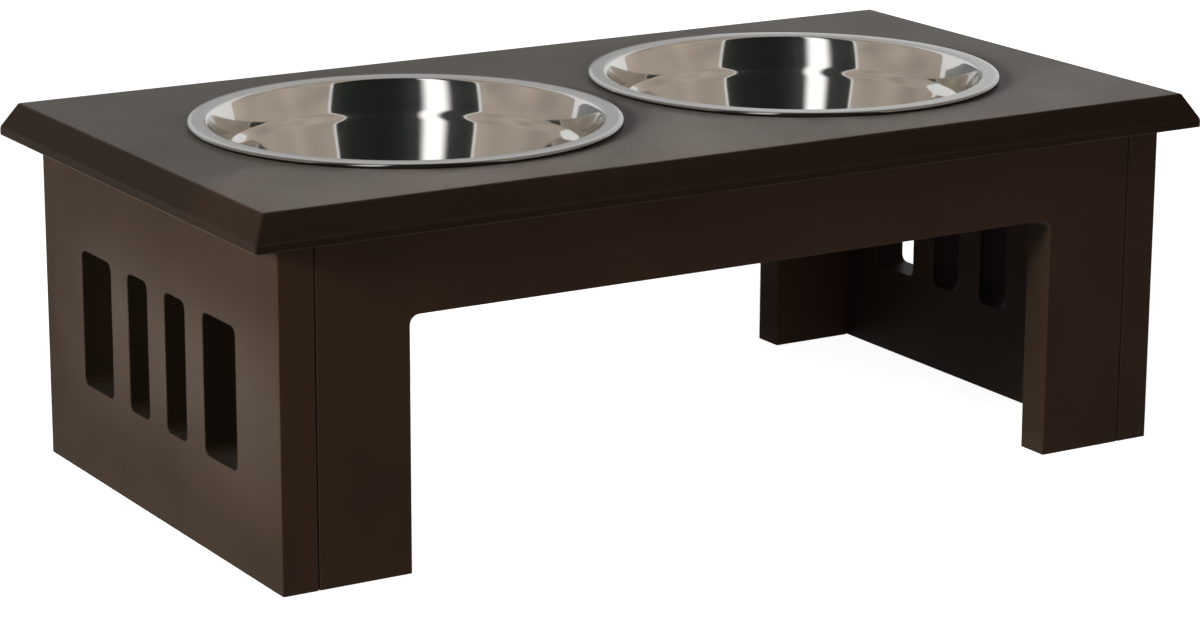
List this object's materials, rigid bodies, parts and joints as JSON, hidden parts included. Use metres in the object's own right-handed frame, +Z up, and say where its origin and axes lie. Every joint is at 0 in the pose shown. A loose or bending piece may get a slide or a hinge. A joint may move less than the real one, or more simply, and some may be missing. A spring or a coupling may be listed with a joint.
{
  "type": "raised pet feeder",
  "caption": "Low raised pet feeder: a painted board stand with a bevelled top, slotted side panels and arched front and rear frames, holding lift-out steel bowls in round cut-outs.",
  "frame": {"origin": "on the floor, under the middle of the stand", "axes": "+X along the stand, to the right as seen from the front; +Y towards the rear; +Z up"},
  "size_m": [0.44, 0.238, 0.1524],
  "materials": {
    "painted_board": "dark brown satin paint on fibreboard",
    "polished_steel": "polished stainless steel",
    "zinc_fitting": "die-cast and plated zinc",
    "beech_dowel": "bare beech"
  },
  "bodies": {
    "stand": {"top_board": "painted_board", "left_side_panel": "painted_board", "right_side_panel": "painted_board", "front_frame": "painted_board", "rear_frame": "painted_board", "left_top_cam_bolts": "zinc_fitting", "right_top_cam_bolts": "zinc_fitting", "left_top_cam_nuts": "zinc_fitting", "right_top_cam_nuts": "zinc_fitting", "left_top_dowels": "beech_dowel", "right_top_dowels": "beech_dowel", "front_apron_dowels": "beech_dowel", "rear_apron_dowels": "beech_dowel", "front_left_cam_bolt": "zinc_fitting", "front_right_cam_bolt": "zinc_fitting", "rear_left_cam_bolt": "zinc_fitting", "rear_right_cam_bolt": "zinc_fitting", "front_left_cam_nut": "zinc_fitting", "front_right_cam_nut": "zinc_fitting", "rear_left_cam_nut": "zinc_fitting", "rear_right_cam_nut": "zinc_fitting", "front_left_leg_dowels": "beech_dowel", "front_right_leg_dowels": "beech_dowel", "rear_left_leg_dowels": "beech_dowel", "rear_right_leg_dowels": "beech_dowel"},
    "bowl_left": {"left_bowl": "polished_steel"},
    "bowl_right": {"right_bowl": "polished_steel"}
  },
  "joints": [
    {"name": "left_bowl_lift", "type": "slide", "parent": "stand", "child": "bowl_left", "axis": [0, 0, 1], "range_m": [0, 0.1]},
    {"name": "right_bowl_lift", "type": "slide", "parent": "stand", "child": "bowl_right", "axis": [0, 0, 1], "range_m": [0, 0.1]}
  ]
}
